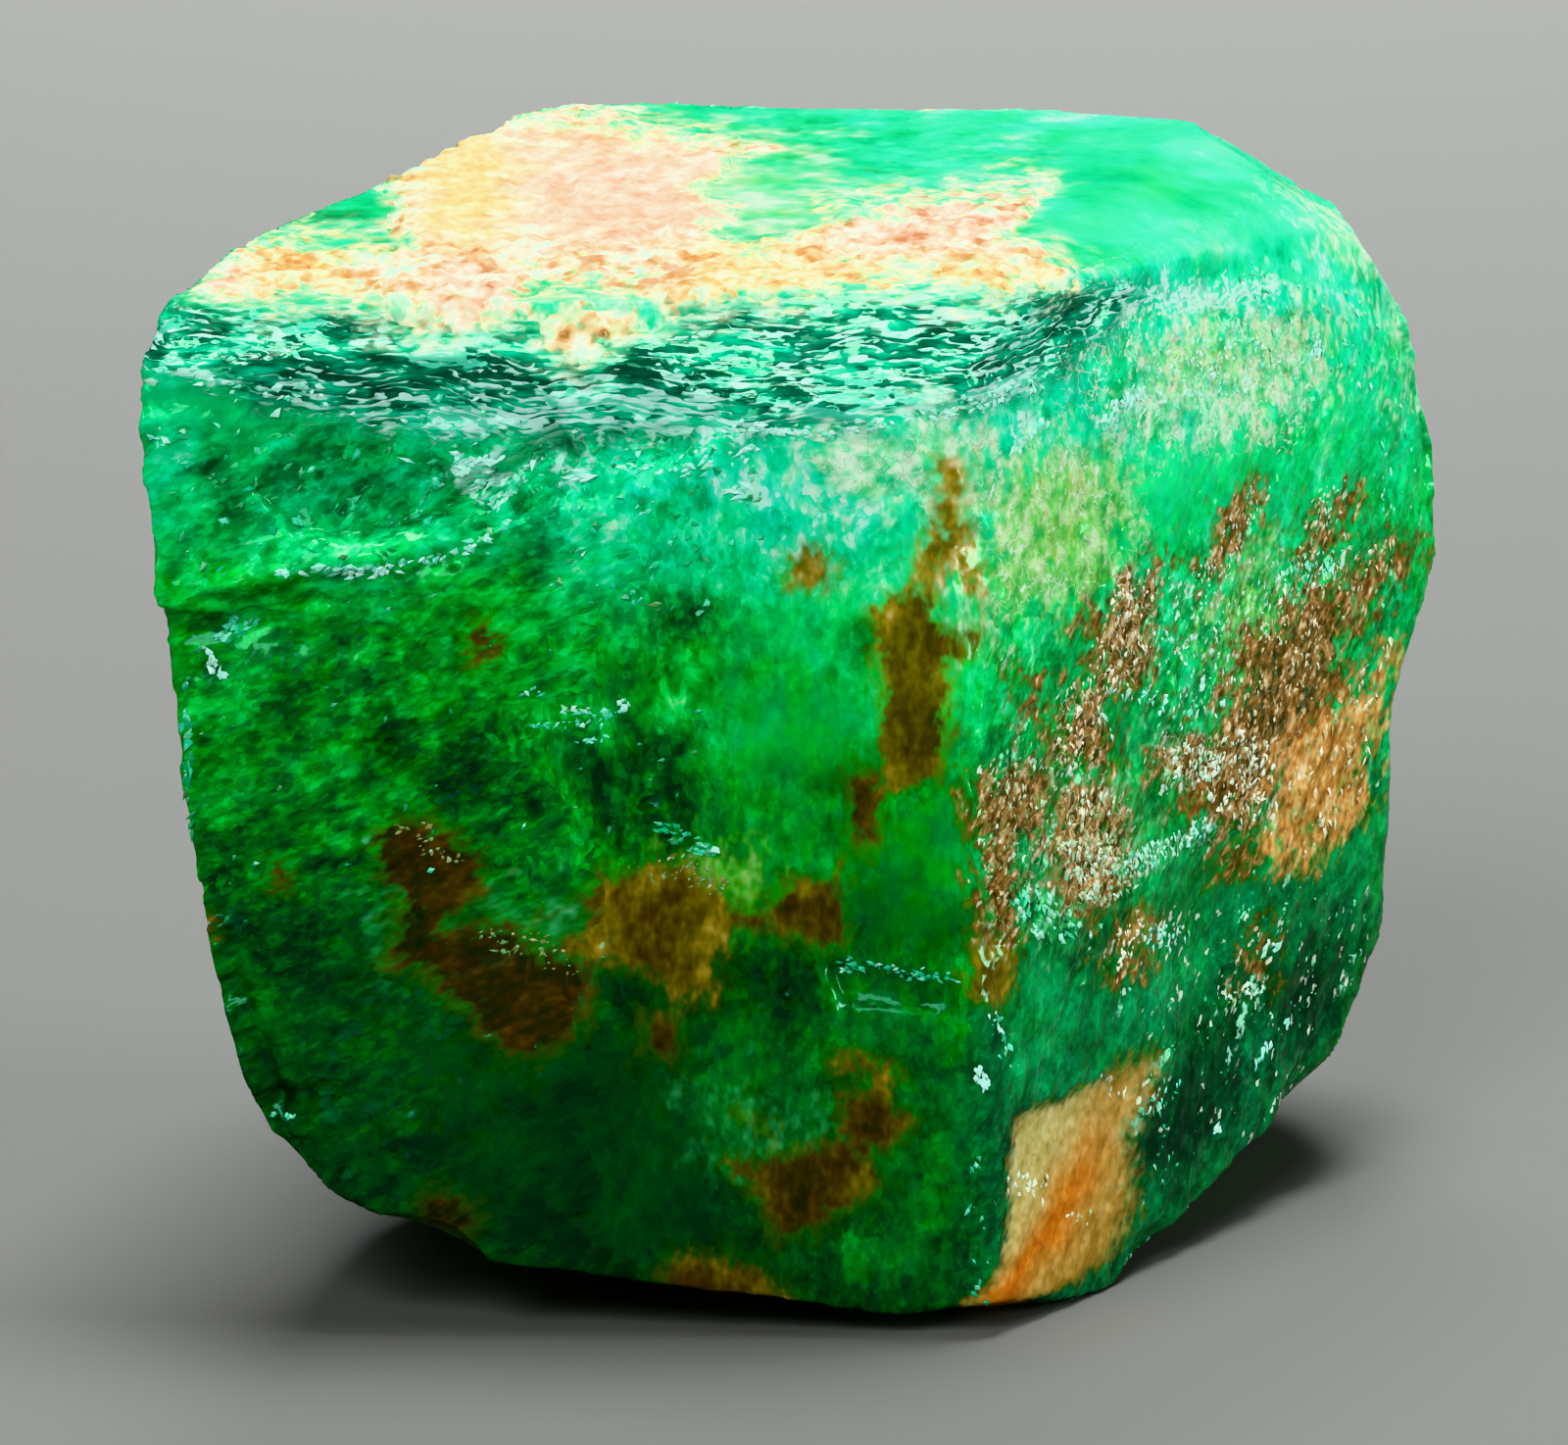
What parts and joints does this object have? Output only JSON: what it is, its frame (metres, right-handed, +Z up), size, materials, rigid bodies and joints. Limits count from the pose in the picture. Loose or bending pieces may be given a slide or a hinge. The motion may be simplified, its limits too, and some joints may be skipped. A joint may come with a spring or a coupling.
{
  "type": "emerald crystal",
  "caption": "Rough, blocky green beryl crystal with flat prism faces, a striated bevel under a crusted top, shell-like fractures and brown iron stains; a loose stone that rests on its base.",
  "frame": {"origin": "middle of the footprint, on the surface that the crystal rests on", "axes": "+X right along the broad prism face, +Y away from that face, +Z up"},
  "size_m": [0.0114, 0.0088, 0.0093],
  "materials": {
    "emerald": "translucent green beryl, glassy on fresh fractures, with brown iron-stained patches and a matte cream crust on top"
  },
  "bodies": {
    "root": {"emerald_crystal": "emerald"}
  },
  "joints": []
}
